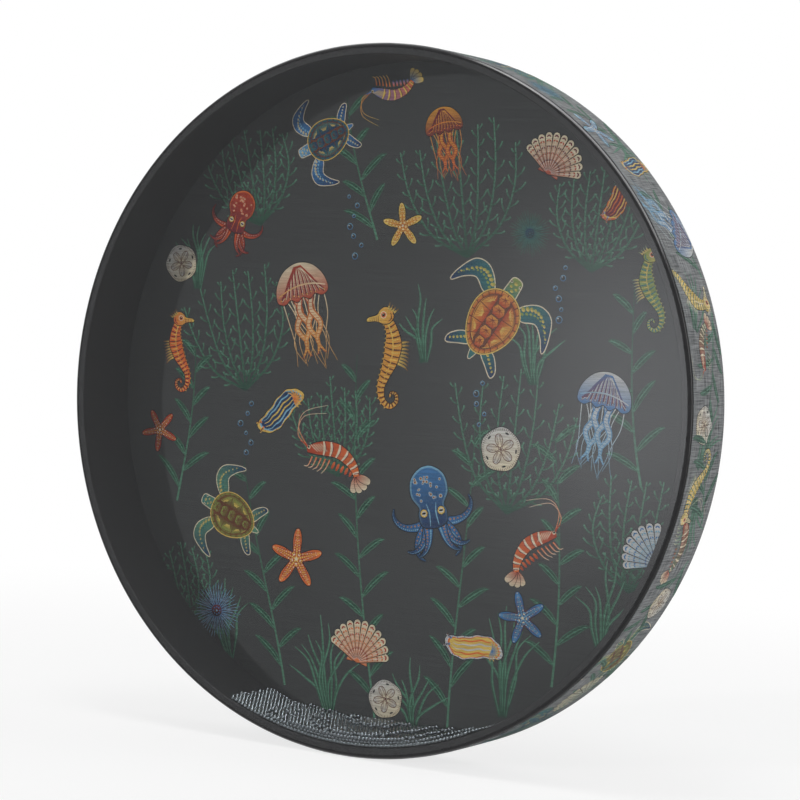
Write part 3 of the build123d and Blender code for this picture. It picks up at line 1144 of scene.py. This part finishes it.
def make_sun(name, azimuth, elevation, strength, width):
    """A lamp of parallel light, with its width in degrees for the softness of its shadows."""
    data = bpy.data.lights.new(name, "SUN")
    data.energy = strength
    data.angle = math.radians(width)
    return aim_lamp(name, data, azimuth, elevation, distance=3)


def make_softbox(name, azimuth, elevation, distance, radiance, width, height=None):
    """A lamp panel, set by how bright its face looks."""
    data = bpy.data.lights.new(name, "AREA")
    data.shape = "RECTANGLE"
    data.size = width
    data.size_y = height or width
    data.energy = radiance * math.pi * data.size * data.size_y
    return aim_lamp(name, data, azimuth, elevation, distance)


def make_lights():
    """A low sun, two panels, and two more panels that only show in reflections."""
    key = make_sun("key_lamp", azimuth=-29.6, elevation=10.4, strength=1.9, width=3)
    key.visible_glossy = False
    shine = make_softbox("head_shine", azimuth=-18, elevation=-1, distance=2.2, radiance=17.0,
                         width=0.4, height=0.6)
    shine.data.color = (0.94, 0.96, 1.0)
    shine.visible_diffuse = False
    gleam = make_softbox("edge_shine", azimuth=100, elevation=62, distance=2.0, radiance=8.0, width=2.2)
    gleam.visible_diffuse = False
    make_softbox("top_lamp", azimuth=30, elevation=76, distance=2.0, radiance=9.0, width=0.7)
    make_softbox("rim_lamp", azimuth=105, elevation=4, distance=2.0, radiance=6.0, width=0.3, height=2.0)


def make_world(ambient):
    """A white background, and an even light of its own strength."""
    world = bpy.data.worlds.new("studio")
    tree = Nodes(world)
    tree.all.clear()
    even, white = (tree.add("Background", Color=(1, 1, 1), Strength=share) for share in (ambient, 1))
    tree.add("OutputWorld", Surface=tree.mixed(tree.seen_directly(), even, white))
    bpy.context.scene.world = world


def floor_material():
    """Pale paint, which fades into the background with the distance from the drum."""
    material = bpy.data.materials.new("pale_floor")
    tree = Nodes(material)
    tree.all.clear()
    x, y, _ = tree.axes()
    squares = [tree.maths("MULTIPLY", side, side) for side in (x, y)]
    away = tree.maths("SQRT", tree.maths("ADD", *squares))
    near, far = FLOOR_FADE
    fade = tree.add("MapRange", Value=away, From_Min=near, From_Max=far, To_Min=FLOOR_GLOW, To_Max=1)
    fade.interpolation_type = "SMOOTHSTEP"
    share = tree.maths("MULTIPLY", tree.seen_directly(), fade.outputs[0])
    paint = tree.add("BsdfDiffuse", Color=(0.9, 0.9, 0.9))
    glow = tree.add("Emission", Strength=1)
    tree.add("OutputMaterial", Surface=tree.mixed(share, paint, glow))
    return material


def make_floor():
    """A floor that keeps the drum's shadow."""
    corners = [(x * FLOOR_HALF, y * FLOOR_HALF, FLOOR_HEIGHT - FLOOR_GAP)
               for x, y in ((-1, -1), (1, -1), (1, 1), (-1, 1))]
    mesh = bpy.data.meshes.new("floor")
    mesh.from_pydata(corners, [], [(0, 1, 2, 3)])
    mesh.materials.append(floor_material())
    floor = bpy.data.objects.new("floor", mesh)
    bpy.context.scene.collection.objects.link(floor)


# ---- materials


WRAP_GREYS = (0.38, (0.066, 0.069, 0.072)), (0.62, (0.29, 0.3, 0.305))


def new_material(name):
    """A material, its node tree and its main shader."""
    material = bpy.data.materials.new(name)
    tree = Nodes(material)
    return material, tree, tree.all["Principled BSDF"]


def film_material(name, haze):
    """Clear, slightly hazy film."""
    material, tree, shader = new_material(name)
    tree.fill(shader, Base_Color=(0.058, 0.060, 0.062), Roughness=0.2, Specular_IOR_Level=0.3,
              Alpha=haze)
    return material


def head_edge_material():
    """The film where black fibre backs it: a glossy black edge, with fine scuffs round it."""
    material, tree, shader = new_material("head_edge")
    x, y, z = tree.axes()
    scuff = tree.noise(tree.joined(x, tree.maths("MULTIPLY", y, SCUFF_STRETCH), z), scale=160, detail=4)
    colour = tree.ramp(scuff, (0.35, (0.005, 0.005, 0.006)), (0.7, (0.012, 0.012, 0.013)))
    rough = tree.ramp(scuff, (0.3, 0.14), (0.7, 0.24))
    tree.fill(shader, Base_Color=colour, Roughness=rough, Specular_IOR_Level=0.25)
    return material


def shell_material():
    """Black stained fibre, matt, with a faint mottle."""
    material, tree, shader = new_material("black_fibre")
    mottle = tree.noise(tree.place(), scale=180, detail=4)
    colour = tree.ramp(mottle, (0.3, (0.010, 0.010, 0.011)), (0.7, (0.016, 0.016, 0.017)))
    tree.fill(shader, Base_Color=colour, Roughness=0.6, Specular_IOR_Level=0.35,
              Normal=tree.bump(mottle, distance=0.0002, strength=0.4))
    return material


def steel_material():
    """Satin steel."""
    material, tree, shader = new_material("ball_steel")
    tree.fill(shader, Base_Color=(0.225, 0.255, 0.27), Metallic=1.0, Roughness=0.26)
    return material


def adhesive_material():
    """Cured adhesive, with cloudy patches."""
    material, tree, shader = new_material("cured_adhesive")
    cloud = tree.noise(tree.place(), scale=90, detail=3)
    colour = tree.ramp(cloud, (0.3, (0.30, 0.27, 0.21)), (0.7, (0.42, 0.39, 0.32)))
    tree.fill(shader, Base_Color=colour, Roughness=0.45)
    return material


def cloth_material():
    """Charcoal cloth with fine threads that run from side to side."""
    material, tree, shader = new_material("charcoal_cloth")
    x, _, z = tree.axes()
    streak = tree.threads(x, z, pitch=0.0013, length=0.06)
    colour = tree.ramp(streak, (0.3, (0.038, 0.041, 0.041)), (0.7, (0.056, 0.059, 0.060)))
    tree.fill(shader, Base_Color=colour, Roughness=0.9, Specular_IOR_Level=0.1)
    return material


def wrap_material():
    """Heathered grey weave."""
    material, tree, shader = new_material("woven_wrap")
    height = tree.weave()
    tree.fill(shader, Base_Color=tree.ramp(height, *WRAP_GREYS), Roughness=0.9,
              Specular_IOR_Level=0.06, Normal=tree.bump(height, distance=0.0003, strength=0.5))
    return material


def head_print_material(name, darkest, lightest):
    """Ink on the head's cloth."""
    material, tree, shader = new_material(name)
    x, _, z = tree.axes()
    height = tree.threads(x, z, pitch=0.0011, length=0.02)
    tree.fill(shader, Base_Color=tree.inked(height, darkest, lightest), Roughness=0.85,
              Specular_IOR_Level=0.1)
    return material


def wrap_print_material():
    """Thinner ink, that lets the grey weave through."""
    material, tree, shader = new_material("wrap_print")
    height = tree.weave()
    mix = tree.add("Mix")
    mix.data_type = "RGBA"
    tree.fill(mix, Factor=0.35, A=tree.inked(height, darkest=0.45, lightest=1.3),
              B=tree.ramp(height, *WRAP_GREYS))
    tree.fill(shader, Base_Color=mix.outputs["Result"], Roughness=0.9, Specular_IOR_Level=0.06)
    return material


def dress(node, material):
    """Gives a CAD node its finish."""
    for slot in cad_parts[node].material_slots:
        slot.material = material


make_camera()
make_lights()
make_world(ambient=0.5)
make_floor()
rings()
print_rear_head()
print_wrap()
dress("steel_balls", steel_material())

bpy.context.scene.view_settings.view_transform = "Standard"
